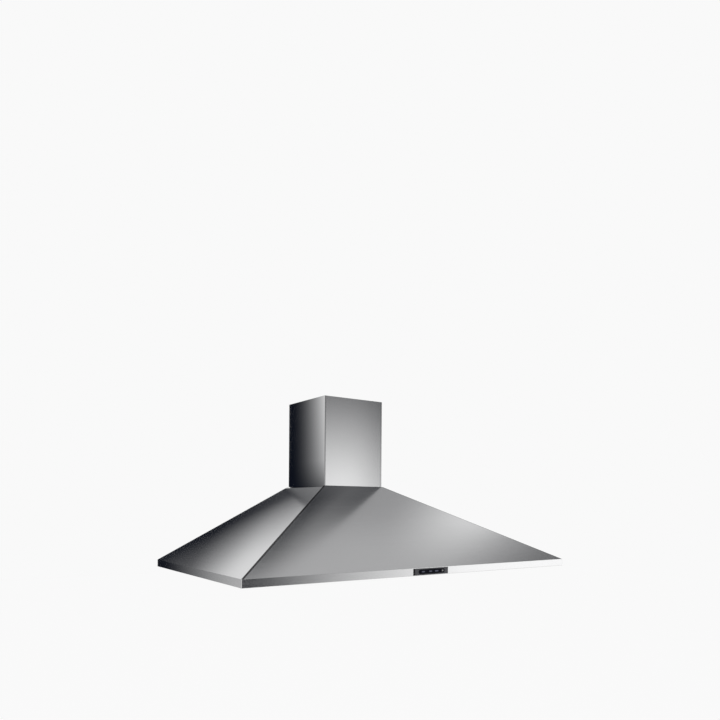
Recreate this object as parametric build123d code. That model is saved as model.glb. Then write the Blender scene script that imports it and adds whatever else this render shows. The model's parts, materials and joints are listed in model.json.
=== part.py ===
from build123d import *
import math
import os

# Wall-mounted chimney range hood, 90 cm wide, in brushed steel sheet.
# Millimetres, +Z up. The wall is the plane Y = 0 and the hood stands out towards -Y.
# The origin is on the wall, on the centre line, at the height of the rim's lower edge.

# ---------------------------------------------------------------- driving dimensions
HOOD_WIDTH = 900.0
HOOD_DEPTH = 500.0
RIM_HEIGHT = 17.0
CANOPY_RISE = 186.0        # rim's upper edge to the flat top of the canopy
CHIMNEY_WIDTH = 180.0
CHIMNEY_DEPTH = 190.0
CHIMNEY_HEIGHT = 228.0     # shown above the canopy
VENT_SLOTS = 5             # air slots in each side of the chimney's upper cover
CANOPY_LEDGE = 3.0         # how far the canopy's flat top stands out round the chimney

SHEET = 1.0                # every steel sheet
SEAM_REVEAL = 1.2          # open line along each front ridge
BEND_RADIUS = 2.0          # outside of the chimney covers' folds
RIDGE_FLANGE = 9.0         # side panel's fold behind the front panel
FIT = 0.3                  # gap between pieces that only lie against each other
SLIDE_FIT = 0.5            # gap between the two chimney covers

RIM_BOTTOM_FOLD = 14.0
RIM_TOP_FOLD = 7.0
RIM_EDGE_RADIUS = 0.8

FRONT_STRIP = 100.0        # underside in front of the filters, which holds the lamps
REAR_STRIP = 84.0
SIDE_STRIP = 34.0
MULLION = 16.0
WINDOW_LIP = 7.0           # height of the folds round each filter window
FILTER_COUNT = 3
FILTER_GAP = 1.0           # filter to window, each side
FILTER_REAR_GAP = 2.0      # more at the hinge edge, which rolls down into the window
FILTER_THICK = 9.0
FILTER_BORDER = 14.0
FILTER_FRONT_BORDER = 36.0
FILTER_LIFT = 0.6          # lower face above the rim's lower edge
MESH_THICK = 6.0
MESH_GRIP = 5.0            # how far the mesh pack reaches into the frame
MESH_RIBS = 4
RIB_DEPTH = 1.2
TAB_WIDTH = 30.0
TAB_REACH = 10.0           # how far a filter tab lies over the rear strip
TAB_THICK = 1.5

LATCH_WIDTH = 45.0
LATCH_LENGTH = 15.5
LATCH_HEIGHT = 6.6
LATCH_GRIP = 4.4           # depth of the finger recess
LATCH_POCKET = 26.0
LATCH_WALL = 3.0
LATCH_TRAVEL = 6.5
LATCH_CATCH = 5.0          # tongue over the front strip
TONGUE_WIDTH = 20.0
TONGUE_THICK = 2.0
LATCH_WING = 3.0

LAMP_SPACING = 560.0
LAMP_SETBACK = 54.0        # lamp centre behind the hood's front face
LAMP_RADIUS = 28.0
LAMP_TRIM = 33.0
LAMP_HEIGHT = 22.0
LAMP_WALL = 1.5
LENS_THICK = 2.0

CONTROL_WIDTH = 100.0
CONTROL_MARGIN = 1.4       # rim shown above and below the control panel
CONTROL_DEPTH = 15.0
FASCIA_THICK = 2.0
FASCIA_PROUD = 0.3
RECESS_LENGTH = 76.0
RECESS_MARGIN = 2.1        # panel shown above and below its recess
RECESS_OFFSET = 2.5
BUTTON_PLACES = {"button_speed_low": -22.5, "button_speed_medium": -1.0, "button_speed_high": 16.7}
LIGHT_BUTTON_PLACE = 34.2
BUTTON_LENGTH = 12.5
BUTTON_HEIGHT = 5.0
LIGHT_BUTTON_GAP = 1.3     # round button to the recess's edge
BUTTON_TRAVEL = 1.0
HOUSING_WALL = 1.5
BOARD_THICK = 1.6

SPIGOT_RADIUS = 60.0       # outside of the outlet, for a 120 mm duct
SPIGOT_LENGTH = 40.0
COLLAR_TAPER = 26.0        # height of the change from the square throat to the round outlet
FLAT_END = 1.0             # how far its flats stand off the round outlet
COLLAR_WALL = 2.0
COLLAR_FLANGE = 3.0
FLAP_THICK = 1.0
FLAP_DROP = 9.0            # flap pin below the spigot's mouth
PIN_RADIUS = 1.5
KNUCKLE_RADIUS = 3.0

BLOWER_INSET = 20.0        # chimney's side to the blower's
SCROLL_WALL = 2.0
TONGUE_PLACE = 2.0         # impeller axis to the throat's nearer wall
SCROLL_HEADROOM = 20.4     # top of the spiral to the canopy's flat top
SCROLL_STEP = 8.0          # radius lost in each quarter turn
SCROLL_FLANGE = 16.0
SCROLL_GROUND = 12.0       # lowest point above the filters
BELL_LENGTH = 5.0
CLIP_LENGTH = 14.0         # moulded clips that join the two halves
CLIP_WIDTH = 10.0
CLIP_RISE = 4.0
WHEEL_GAP = 8.0            # impeller to the spiral where it is tightest
WHEEL_END_GAP = 1.0        # impeller to the rolled inlets
BLADE_DEPTH = 12.0         # from the inlet's radius to the impeller's
BLADE_COUNT = 28
BLADE_THICK = 1.0
BLADE_SWEEP = 14.0         # degrees that a blade leads at its tip
RING_THICK = 2.0           # end rings, which hold the blades' ends
DISC_THICK = 2.0
DISC_REACH = 4.0           # how far the blades are let into the centre disc
SHAFT_RADIUS = 4.0
SHAFT_FIT = 0.05
HUB_RADIUS = 10.0
MOTOR_GAP = 12.0           # motor to the inlet round it
MOTOR_CLEAR = 18.0         # motor's inner end to the impeller's centre
GROMMET_THICK = 4.0
SPIDER_THICK = 2.0
SPIDER_SEAT = 7.0          # spider's feet outside the inlet

BOX_WIDTH = 110.0
BOX_HEIGHT = 68.0
BOX_DEPTH = 40.0
BOX_WALL = 2.0
CAPACITOR_RADIUS = 15.0
CAPACITOR_LENGTH = 48.0
CAPACITOR_DROP = 40.4      # below the canopy's flat top

FIXING_SPACING = 240.0     # wall screw holes in the back panel
FIXING_HEIGHT = 60.0
KEYHOLE_SPACING = 250.0
KEYHOLE_HEIGHT = 122.0
LOWER_BACK_FOLD = 15.0     # chimney covers' folds against the wall
UPPER_BACK_FOLD = 12.0
BRACKET_CLEAR = 7.0        # chimney bracket to the lower cover's fold
SCREW_RADIUS = 2.0
SCREW_HEAD = 3.6

# ---------------------------------------------------------------- sizes that follow
TOP_WIDTH = CHIMNEY_WIDTH + 2 * CANOPY_LEDGE
TOP_DEPTH = CHIMNEY_DEPTH + CANOPY_LEDGE
TOP_Z = RIM_HEIGHT + CANOPY_RISE
CHIMNEY_TOP = TOP_Z + CHIMNEY_HEIGHT
FRONT_SLOPE = math.atan2(CANOPY_RISE, HOOD_DEPTH - TOP_DEPTH)
SIDE_SLOPE = math.atan2(CANOPY_RISE, (HOOD_WIDTH - TOP_WIDTH) / 2)
DUCT_Y = -CHIMNEY_DEPTH / 2

PLATE_TOP = 2 * SHEET      # upper face of the underside plate, which lies on the rim's fold
WINDOW_FRONT = -(HOOD_DEPTH - FRONT_STRIP)
WINDOW_REAR = -REAR_STRIP
WINDOW_WIDTH = (HOOD_WIDTH - 2 * SIDE_STRIP - (FILTER_COUNT - 1) * MULLION) / FILTER_COUNT
WINDOW_PITCH = WINDOW_WIDTH + MULLION
WINDOW_CENTRES = [(i - (FILTER_COUNT - 1) / 2) * WINDOW_PITCH for i in range(FILTER_COUNT)]
FILTER_NAMES = ["left", "centre", "right"]
FILTER_FRONT = WINDOW_FRONT + FILTER_GAP
FILTER_BACK = WINDOW_REAR - FILTER_REAR_GAP
FILTER_TOP = FILTER_LIFT + FILTER_THICK
HINGE_Z = PLATE_TOP + FIT

CONTROL_HEIGHT = RIM_HEIGHT - 2 * CONTROL_MARGIN
RECESS_HEIGHT = CONTROL_HEIGHT - 2 * RECESS_MARGIN
LIGHT_BUTTON_RADIUS = RECESS_HEIGHT / 2 - LIGHT_BUTTON_GAP

PLATE_UNDER = TOP_Z - SHEET
SCROLL_WIDTH = CHIMNEY_WIDTH - 2 * BLOWER_INSET
HALF_SCROLL = SCROLL_WIDTH / 2
SPIRAL_HEIGHT = PLATE_UNDER - SCROLL_HEADROOM - FILTER_TOP - SCROLL_GROUND
SCROLL_REACH = SPIRAL_HEIGHT / 2 + 2 * SCROLL_STEP - SCROLL_WALL   # axis to the spiral's widest point
THROAT_DEPTH = SCROLL_REACH - TONGUE_PLACE
AXIS_Y = DUCT_Y - (SCROLL_REACH - THROAT_DEPTH / 2)
AXIS_Z = FILTER_TOP + SCROLL_GROUND + SCROLL_REACH - SCROLL_STEP + SCROLL_WALL
IMPELLER_RADIUS = SCROLL_REACH - 3 * SCROLL_STEP - WHEEL_GAP
IMPELLER_LENGTH = SCROLL_WIDTH - 2 * (SCROLL_WALL + BELL_LENGTH + WHEEL_END_GAP)
BLADE_INNER = IMPELLER_RADIUS - BLADE_DEPTH
INLET_RADIUS = BLADE_INNER
MOTOR_RADIUS = INLET_RADIUS - MOTOR_GAP
MOTOR_LENGTH = HALF_SCROLL + GROMMET_THICK - MOTOR_CLEAR
SPIDER_REACH = INLET_RADIUS + SPIDER_SEAT
SPIGOT_BASE = TOP_Z + COLLAR_FLANGE + COLLAR_TAPER
SPIGOT_TOP = SPIGOT_BASE + SPIGOT_LENGTH
PIN_Z = SPIGOT_TOP - FLAP_DROP


# ---------------------------------------------------------------- small helpers
def block(x0, x1, y0, y1, z0, z1):
    """A box from its corner coordinates."""
    middle = Pos((x0 + x1) / 2, (y0 + y1) / 2, (z0 + z1) / 2)
    return middle * Box(abs(x1 - x0), abs(y1 - y0), abs(z1 - z0))


def rod_x(radius, x0, x1, y, z):
    """A cylinder along X."""
    return Pos((x0 + x1) / 2, y, z) * Rot(0, 90, 0) * Cylinder(radius, abs(x1 - x0))


def rod_y(radius, y0, y1, x, z):
    """A cylinder along Y."""
    return Pos(x, (y0 + y1) / 2, z) * Rot(90, 0, 0) * Cylinder(radius, abs(y1 - y0))


def rod_z(radius, z0, z1, x, y):
    """A cylinder along Z."""
    return Pos(x, y, (z0 + z1) / 2) * Cylinder(radius, abs(z1 - z0))


def turned(points, place):
    """A solid of revolution about Z from (radius, height) points, then placed."""
    outline = Polyline(*[(r, 0, z) for r, z in points], close=True)
    return place * revolve(make_face(outline), Axis.Z)


def slot_y(length, height, y0, y1, x, z):
    """A stadium-ended prism along Y, its long side along X."""
    profile = Plane.XZ * SlotOverall(length, height)
    return Pos(x, y1, z) * extrude(profile, amount=abs(y1 - y0))


def group(pieces):
    """Separate solids that share one node."""
    return Compound(children=list(pieces))


def save(shape, name):
    shape.label = name
    export_step(shape, f"parts/{name}.step")


# ---------------------------------------------------------------- canopy
BOX_FACES = [(3, 2, 1, 0), (4, 5, 6, 7), (0, 1, 5, 4), (1, 2, 6, 5), (2, 3, 7, 6), (3, 0, 4, 7)]


def flat_sided(corners, faces):
    """A solid with flat faces, each a list of corner numbers."""
    sides = [Face(Wire.make_polygon([corners[i] for i in face], close=True)) for face in faces]
    return Solid(Shell(sides))


def pyramid(front_in, side_in):
    """The canopy's solid with its slopes moved in, measured square to each sheet."""
    corners = []
    for z, width, depth in ((RIM_HEIGHT, HOOD_WIDTH, HOOD_DEPTH), (TOP_Z, TOP_WIDTH, TOP_DEPTH)):
        half = width / 2 - side_in / math.sin(SIDE_SLOPE)
        deep = depth - front_in / math.sin(FRONT_SLOPE)
        corners += [(-half, -deep, z), (half, -deep, z), (half, 0, z), (-half, 0, z)]
    return flat_sided(corners, BOX_FACES)


def canopy_front():
    return pyramid(0, SEAM_REVEAL) - pyramid(SHEET, SEAM_REVEAL)


def canopy_side(sign):
    """A side sheet with the narrow fold that backs the front panel's edge."""
    sheet = pyramid(SHEET, 0) - pyramid(SHEET, SHEET)
    fold = pyramid(SHEET, 0) - pyramid(2 * SHEET, 0) - pyramid(0, RIDGE_FLANGE)
    both = sheet + fold
    keep = block(0, sign * HOOD_WIDTH, -HOOD_DEPTH, -SHEET, 0, TOP_Z + 1)
    return (both & keep).solid()


def keyhole(x, z, y0, y1):
    """Screw head hole with the narrower slot above it."""
    head = rod_y(6.5, y0, y1, x, z)
    slot = block(x - 3, x + 3, y0, y1, z, z + 14)
    crown = rod_y(3.0, y0, y1, x, z + 14)
    return head + slot + crown


def canopy_back():
    half, top_half = HOOD_WIDTH / 2, TOP_WIDTH / 2
    outline = [(-half, 0), (half, 0), (half, RIM_HEIGHT), (top_half, TOP_Z), (-top_half, TOP_Z), (-half, RIM_HEIGHT)]
    profile = Plane.XZ * make_face(Polyline(*outline, close=True))
    plate = extrude(profile, amount=SHEET)
    for sign in (-1, 1):
        plate -= keyhole(sign * KEYHOLE_SPACING / 2, KEYHOLE_HEIGHT, -2 * SHEET, SHEET)
        plate -= rod_y(4.0, -2 * SHEET, SHEET, sign * FIXING_SPACING / 2, FIXING_HEIGHT)
    return plate


def hanging_plates():
    """Two thick plates that carry the hood's weight at the keyholes."""
    pieces = []
    for sign in (-1, 1):
        x = sign * KEYHOLE_SPACING / 2
        plate = block(x - 20, x + 20, -SHEET - 2.5, -SHEET, KEYHOLE_HEIGHT - 16, KEYHOLE_HEIGHT + 26)
        plate = chamfer(plate.edges().filter_by(Axis.Y), 4)
        pieces.append(plate - keyhole(x, KEYHOLE_HEIGHT, -SHEET - 4, 0))
    return group(pieces)


def canopy_top():
    """The flat top: folded down along the slopes, with the hole for the blower's throat."""
    level = block(-HOOD_WIDTH, HOOD_WIDTH, -HOOD_DEPTH, -SHEET, PLATE_UNDER, TOP_Z)
    skirt_zone = block(-HOOD_WIDTH, HOOD_WIDTH, -HOOD_DEPTH, -SHEET, TOP_Z - 11, TOP_Z)
    skirt = (pyramid(2 * SHEET, SHEET) - pyramid(3 * SHEET, 2 * SHEET)) & skirt_zone
    plate = (pyramid(2 * SHEET, SHEET) & level) + skirt
    half, deep = HALF_SCROLL + FIT, THROAT_DEPTH / 2 + SCROLL_WALL + FIT
    plate -= block(-half, half, DUCT_Y - deep, DUCT_Y + deep, TOP_Z - 2, TOP_Z + 1)
    for x, y in blower_screw_places() + chimney_screw_places():
        plate -= rod_z(SCREW_RADIUS + 0.2, TOP_Z - 2, TOP_Z + 1, x, y)
    return plate.solid()


def rim_band():
    """The thin upright band round three sides, folded in at its top and bottom."""
    half, deep = HOOD_WIDTH / 2, HOOD_DEPTH
    band = block(-half, half, -deep, -SHEET, 0, RIM_HEIGHT)
    corners = band.edges().filter_by(Axis.Z).sort_by(Axis.Y)[:2]
    lower = band.edges().filter_by(Axis.X).sort_by(Axis.Z)[:2].sort_by(Axis.Y)[:1]
    sides = band.edges().filter_by(Axis.Y).sort_by(Axis.Z)[:2]
    band = fillet(corners + lower + sides, RIM_EDGE_RADIUS)
    inner_half, inner_deep = half - SHEET, deep - SHEET
    band -= block(-inner_half, inner_half, -inner_deep, 0, SHEET, RIM_HEIGHT - SHEET)
    low, high = RIM_BOTTOM_FOLD, RIM_TOP_FOLD
    band -= block(-half + low, half - low, -deep + low, 0, -1, 2 * SHEET)
    band -= block(-half + high, half - high, -deep + high, 0, RIM_HEIGHT - 2 * SHEET, RIM_HEIGHT + 1)
    cut_w, cut_h = CONTROL_WIDTH / 2 + 0.2, CONTROL_HEIGHT / 2 + 0.2
    band -= block(-cut_w, cut_w, -deep - 1, -deep + 3, RIM_HEIGHT / 2 - cut_h, RIM_HEIGHT / 2 + cut_h)
    return band.solid()


# ---------------------------------------------------------------- underside
def lamp_places():
    return {"left": -LAMP_SPACING / 2, "right": LAMP_SPACING / 2}


def underside_plate():
    """One plate with three filter windows, each with stiffening folds, and two lamp holes."""
    half = HOOD_WIDTH / 2 - SHEET - FIT
    plate = block(-half, half, -HOOD_DEPTH + SHEET + FIT, -SHEET - FIT, SHEET, PLATE_TOP)
    lips = []
    for x in WINDOW_CENTRES:
        w = WINDOW_WIDTH / 2
        lip_top = PLATE_TOP + WINDOW_LIP
        outer = block(x - w - SHEET, x + w + SHEET, WINDOW_FRONT - SHEET, WINDOW_REAR - 20, SHEET, lip_top)
        lips.append(outer)
    for lip in lips:
        plate += lip
    for x in WINDOW_CENTRES:
        w = WINDOW_WIDTH / 2
        plate -= block(x - w, x + w, WINDOW_FRONT, WINDOW_REAR, 0, PLATE_TOP + WINDOW_LIP + 1)
        slot = TONGUE_WIDTH / 2 + 2
        plate -= block(x - slot, x + slot, WINDOW_FRONT - 3, WINDOW_FRONT + 1, PLATE_TOP, PLATE_TOP + 4)
    for x in lamp_places().values():
        plate -= rod_z(LAMP_RADIUS + 0.5, 0, PLATE_TOP + 1, x, -HOOD_DEPTH + LAMP_SETBACK)
    notch = CONTROL_WIDTH / 2 + 1
    plate -= block(-notch, notch, -HOOD_DEPTH, housing_front() + FIT, 0, PLATE_TOP + 1)
    return plate.solid()


def lamp_housing(x):
    r, h = LAMP_RADIUS, LAMP_HEIGHT
    inner = r - LAMP_WALL
    points = [
        (inner - 3, 0), (LAMP_TRIM - 0.6, 0), (LAMP_TRIM, SHEET), (r, SHEET), (r, h), (0, h), (0, h - LAMP_WALL),
        (inner, h - LAMP_WALL), (inner, SHEET), (inner - 3, SHEET),
    ]
    return turned(points, Pos(x, -HOOD_DEPTH + LAMP_SETBACK, 0))


def lamp_lens(x):
    r = LAMP_RADIUS - LAMP_WALL - 0.2
    z0 = SHEET
    points = [(0, z0 - 0.5), (r - 6, z0 - 0.5), (r - 6, z0), (r, z0), (r, z0 + LENS_THICK), (0, z0 + LENS_THICK)]
    return turned(points, Pos(x, -HOOD_DEPTH + LAMP_SETBACK, 0))


def lamp_bulb(x):
    top = LAMP_HEIGHT - LAMP_WALL
    points = [(0, top), (9, top), (9, top - 4), (5, top - 6), (5, top - 11), (0, top - 14)]
    return turned(points, Pos(x, -HOOD_DEPTH + LAMP_SETBACK, 0))


# ---------------------------------------------------------------- grease filters
def filter_frame(x):
    half = WINDOW_WIDTH / 2 - FILTER_GAP
    frame = block(x - half, x + half, FILTER_FRONT, FILTER_BACK, FILTER_LIFT, FILTER_TOP)
    frame = chamfer(frame.edges().filter_by(Axis.Z), 1.5)
    opening = half - FILTER_BORDER
    y0, y1 = FILTER_FRONT + FILTER_FRONT_BORDER, FILTER_BACK - FILTER_BORDER
    frame -= block(x - opening, x + opening, y0, y1, 0, FILTER_TOP + 1)
    grip = MESH_GRIP + 0.2
    z_mid = (FILTER_LIFT + FILTER_TOP) / 2
    z0, z1 = z_mid - MESH_THICK / 2 - 0.1, z_mid + MESH_THICK / 2 + 0.1
    frame -= block(x - opening - grip, x + opening + grip, y0 - grip, y1 + grip, z0, z1)
    for side in (-1, 1):
        tab_x = x + side * half / 2
        tab = block(tab_x - TAB_WIDTH / 2, tab_x + TAB_WIDTH / 2, FILTER_BACK - 1, WINDOW_REAR + TAB_REACH,
                    HINGE_Z, HINGE_Z + TAB_THICK)
        frame += tab
    return (frame - latch_space(x)).solid()


def latch_space(x):
    """The pocket, the grooves for the latch's wings and the slot for its tongue."""
    w = LATCH_WIDTH / 2 + FIT
    y0 = FILTER_FRONT + LATCH_WALL
    pocket = block(x - w, x + w, y0, y0 + LATCH_POCKET, 0, FILTER_TOP - 1.8)
    wing_z = tongue_z() - FIT
    grooves = block(x - w - LATCH_WING, x + w + LATCH_WING, y0, y0 + LATCH_POCKET, wing_z, wing_z + TONGUE_THICK + 2 * FIT)
    t = TONGUE_WIDTH / 2 + FIT
    slot = block(x - t, x + t, FILTER_FRONT - 1, y0 + 1, wing_z, wing_z + TONGUE_THICK + 2 * FIT)
    return pocket + grooves + slot


def tongue_z():
    return PLATE_TOP + 0.5


def filter_latch(x):
    w = LATCH_WIDTH / 2
    y0 = FILTER_FRONT + LATCH_WALL + FIT
    y1 = y0 + LATCH_LENGTH
    z0 = FILTER_LIFT + FIT
    body = block(x - w, x + w, y0, y1, z0, z0 + LATCH_HEIGHT)
    grip = slot_z(34, 9, z0 - 1, z0 + LATCH_GRIP, x, (y0 + y1) / 2)
    body -= grip
    z = tongue_z()
    body += block(x - w - LATCH_WING, x - w, y0, y1, z, z + TONGUE_THICK)
    body += block(x + w, x + w + LATCH_WING, y0, y1, z, z + TONGUE_THICK)
    tip = WINDOW_FRONT - LATCH_CATCH
    tongue = block(x - TONGUE_WIDTH / 2, x + TONGUE_WIDTH / 2, tip, y0, z, z + TONGUE_THICK)
    lead = tongue.edges().filter_by(Axis.X).sort_by(Axis.Y)[:2].sort_by(Axis.Z)[-1]
    return (body + chamfer(lead, 1.2)).solid()


def slot_z(length, width, z0, z1, x, y):
    """A stadium-ended prism along Z, its long side along X."""
    return Pos(x, y, z0) * extrude(SlotOverall(length, width), amount=z1 - z0)


def latch_spring(x):
    """A bowed leaf between the latch and the back wall of its pocket."""
    y_latch = FILTER_FRONT + LATCH_WALL + FIT + LATCH_LENGTH + 0.2
    y_wall = FILTER_FRONT + LATCH_WALL + LATCH_POCKET - 0.2
    bow = y_wall - y_latch - 0.4
    outer = ThreePointArc((-18, 0), (0, bow), (18, 0))
    inner = ThreePointArc((-18, 0.4), (0, bow + 0.4), (18, 0.4))
    ends = [Line((-18, 0), (-18, 0.4)), Line((18, 0), (18, 0.4))]
    leaf = extrude(make_face([outer, inner] + ends), amount=3.0)
    return Pos(x, y_latch, FILTER_LIFT + 2.4) * leaf


def filter_mesh(x):
    """The pack of expanded aluminium, pressed with shallow ribs."""
    half = WINDOW_WIDTH / 2 - FILTER_GAP - FILTER_BORDER + MESH_GRIP
    y0 = FILTER_FRONT + FILTER_FRONT_BORDER - MESH_GRIP
    y1 = FILTER_BACK - FILTER_BORDER + MESH_GRIP
    z_mid = (FILTER_LIFT + FILTER_TOP) / 2
    pack = block(x - half, x + half, y0, y1, z_mid - MESH_THICK / 2, z_mid + MESH_THICK / 2)
    for i in range(1, MESH_RIBS + 1):
        rib_y = y0 + (y1 - y0) * i / (MESH_RIBS + 1)
        for side in (-1, 1):
            face_z = z_mid + side * MESH_THICK / 2
            pack -= block(x - half + 20, x + half - 20, rib_y - 3.5, rib_y + 3.5, face_z - side * RIB_DEPTH, face_z + side)
    return pack


# ---------------------------------------------------------------- controls
def control_fascia():
    y0 = -HOOD_DEPTH - FASCIA_PROUD
    z = RIM_HEIGHT / 2
    plate = block(-CONTROL_WIDTH / 2, CONTROL_WIDTH / 2, y0, y0 + FASCIA_THICK, z - CONTROL_HEIGHT / 2, z + CONTROL_HEIGHT / 2)
    front = plate.faces().sort_by(Axis.Y)[0]
    plate = fillet(front.edges(), 0.5)
    return plate - slot_y(RECESS_LENGTH, RECESS_HEIGHT, y0 - 1, y0 + FASCIA_THICK + 1, RECESS_OFFSET, z)


def housing_front():
    """Y of the housing's front, which is the floor of the fascia's recess."""
    return -HOOD_DEPTH - FASCIA_PROUD + FASCIA_THICK


def control_housing():
    """A box open at the back, with a hole for each button and two snap ears."""
    y0 = housing_front()
    y1 = y0 + CONTROL_DEPTH
    z = RIM_HEIGHT / 2
    w, h = CONTROL_WIDTH / 2 - 1, CONTROL_HEIGHT / 2 - 0.6
    box = block(-w, w, y0, y1, z - h, z + h)
    inner_w, inner_h = w - HOUSING_WALL, h - HOUSING_WALL
    box -= block(-inner_w, inner_w, y0 + HOUSING_WALL, y1 + 1, z - inner_h, z + inner_h)
    for x in BUTTON_PLACES.values():
        box -= slot_y(BUTTON_LENGTH + 2 * FIT, BUTTON_HEIGHT + 2 * FIT, y0 - 1, y0 + 3, x, z)
    box -= rod_y(LIGHT_BUTTON_RADIUS + FIT, y0 - 1, y0 + 3, LIGHT_BUTTON_PLACE, z)
    for sign in (-1, 1):
        ear = block(sign * (w - 0.5), sign * (w + 3.5), y0 + 1.2, y0 + 7, z - 3, z + 3)
        box += ear
    return box.solid()


def button(x, round_cap):
    """Cap in front of the floor, collar and stem behind it."""
    front = -HOOD_DEPTH
    floor = housing_front()
    z = RIM_HEIGHT / 2
    back = floor + HOUSING_WALL + FIT
    if round_cap:
        cap = rod_y(LIGHT_BUTTON_RADIUS, front, back, x, z)
        half_x, half_z = LIGHT_BUTTON_RADIUS + 0.9, LIGHT_BUTTON_RADIUS + 0.9
    else:
        cap = slot_y(BUTTON_LENGTH, BUTTON_HEIGHT, front, back, x, z)
        half_x, half_z = BUTTON_LENGTH / 2 + 1, BUTTON_HEIGHT / 2 + 1
    nose = cap.faces().sort_by(Axis.Y)[0]
    cap = chamfer(nose.edges(), 0.5)
    collar = block(x - half_x, x + half_x, back, back + 1, z - half_z, z + half_z)
    stem = block(x - 1.5, x + 1.5, back + 0.5, switch_top() - BUTTON_TRAVEL - FIT, z - 1.5, z + 1.5)
    return (cap + collar + stem).solid()


def board_front():
    return housing_front() + CONTROL_DEPTH - BOARD_THICK - 1


def switch_top():
    return board_front() - 3.5


def control_board():
    """Circuit board with a small push switch behind each button."""
    z = RIM_HEIGHT / 2
    w = CONTROL_WIDTH / 2 - 1 - HOUSING_WALL - 0.1
    h = CONTROL_HEIGHT / 2 - 0.6 - HOUSING_WALL - 0.1
    y = board_front()
    board = block(-w, w, y, y + BOARD_THICK, z - h, z + h)
    for x in list(BUTTON_PLACES.values()) + [LIGHT_BUTTON_PLACE]:
        board += block(x - 3, x + 3, y - 2.5, y, z - 3, z + 3)
        board += block(x - 1.4, x + 1.4, switch_top(), y - 2, z - 1.4, z + 1.4)
    board += block(-44, -32, y - 5, y, z - 2.5, z + 2.5)
    return board


# ---------------------------------------------------------------- chimney
def cover(half, front, back, z0, z1, back_fold):
    """A U-shaped cover, open at the back between two narrow folds."""
    shell = block(-half, half, front, back, z0, z1)
    corners = shell.edges().filter_by(Axis.Z).sort_by(Axis.Y)[:2]
    shell = fillet(corners, BEND_RADIUS)
    inside = block(-half + SHEET, half - SHEET, front + SHEET, back - SHEET, z0 - 1, z1 + 1)
    shell -= fillet(inside.edges().filter_by(Axis.Z).sort_by(Axis.Y)[:2], BEND_RADIUS - SHEET)
    return shell - block(-half + back_fold, half - back_fold, back - 3 * SHEET, back + 1, z0 - 1, z1 + 1)


def chimney_screw_places():
    x = CHIMNEY_WIDTH / 2 - SHEET - 6.5
    return [(side * x, DUCT_Y) for side in (-1, 1)]


def chimney_lower():
    half = CHIMNEY_WIDTH / 2
    shell = cover(half, -CHIMNEY_DEPTH, 0, TOP_Z, CHIMNEY_TOP, LOWER_BACK_FOLD)
    foot = block(-half + 0.5, half - 0.5, -CHIMNEY_DEPTH + 0.5, -3, TOP_Z, TOP_Z + SHEET)
    foot = chamfer(foot.edges().filter_by(Axis.Z).sort_by(Axis.Y)[:2], BEND_RADIUS)
    foot -= block(-half + 11, half - 11, -CHIMNEY_DEPTH + 11, 0, TOP_Z - 1, TOP_Z + 2 * SHEET)
    shell += foot
    for x, y in chimney_screw_places():
        shell -= rod_z(SCREW_RADIUS + 0.2, TOP_Z - 1, TOP_Z + 2 * SHEET, x, y)
    return shell.solid()


def upper_half():
    return CHIMNEY_WIDTH / 2 - SHEET - SLIDE_FIT


def chimney_upper():
    """Nests inside the lower cover and slides up out of it, with air slots near its top."""
    half = upper_half()
    z0, z1 = TOP_Z + SHEET + FIT, CHIMNEY_TOP - FIT
    front, back = -CHIMNEY_DEPTH + SHEET + SLIDE_FIT, -SHEET - SLIDE_FIT
    shell = cover(half, front, back, z0, z1, UPPER_BACK_FOLD)
    for i in range(VENT_SLOTS):
        z = z1 - 40 - 10 * i
        slot = Pos(0, DUCT_Y, z) * Plane.YZ * SlotOverall(90, 4)
        shell -= extrude(slot, amount=2 * half, both=True)
    shell -= rod_x(SCREW_RADIUS + 0.2, -half - 1, half + 1, -14, z1 - 18)
    return shell.solid()


def chimney_bracket():
    """Wall strap at the top of the upper cover: the cover's sides are screwed to its ears."""
    z1 = CHIMNEY_TOP - FIT - 4
    z0 = z1 - 28
    half = upper_half() - SHEET
    outer = CHIMNEY_WIDTH / 2 - LOWER_BACK_FOLD - BRACKET_CLEAR
    inner, thick, ear = outer - 4, 1.5, 22
    path = [
        (-half, -ear), (-half, -5), (-outer, -5), (-inner, 0), (inner, 0), (outer, -5), (half, -5), (half, -ear),
        (half - thick, -ear), (half - thick, -5 - thick), (outer - 0.7, -5 - thick), (inner - 0.7, -thick),
        (-inner + 0.7, -thick), (-outer + 0.7, -5 - thick), (-half + thick, -5 - thick), (-half + thick, -ear),
    ]
    strap = Pos(0, 0, z0) * extrude(make_face(Polyline(*path, close=True)), amount=z1 - z0)
    z = (z0 + z1) / 2
    for x in (19 - inner, inner - 19):
        strap -= rod_y(3.0, -8, 1, x, z)
    strap -= rod_x(SCREW_RADIUS + 0.2, -half - 1, half + 1, -14, z)
    return strap


# ---------------------------------------------------------------- outlet collar and damper
def collar_half():
    """Half sizes of the flange under the collar, the same as the blower's."""
    return HALF_SCROLL + 5, THROAT_DEPTH / 2 + SCROLL_WALL + SCROLL_FLANGE


def blower_screw_places():
    x = HALF_SCROLL - 18
    y = THROAT_DEPTH / 2 + SCROLL_WALL + SCROLL_FLANGE / 2
    return [(sx * x, DUCT_Y + sy * y) for sx in (-1, 1) for sy in (-1, 1)]


def square_to_round(half_x, half_y, radius, z0, z1):
    """A cone cut by four flats: the rectangle at its foot and the circle at its top."""
    cone = Pos(0, DUCT_Y, (z0 + z1) / 2) * Cone(math.hypot(half_x, half_y), radius, z1 - z0)
    corners = []
    for z, x, y in ((z0, half_x, half_y), (z1, radius + FLAT_END, radius + FLAT_END)):
        corners += [(-x, DUCT_Y - y, z), (x, DUCT_Y - y, z), (x, DUCT_Y + y, z), (-x, DUCT_Y + y, z)]
    return cone & flat_sided(corners, BOX_FACES)


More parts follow.
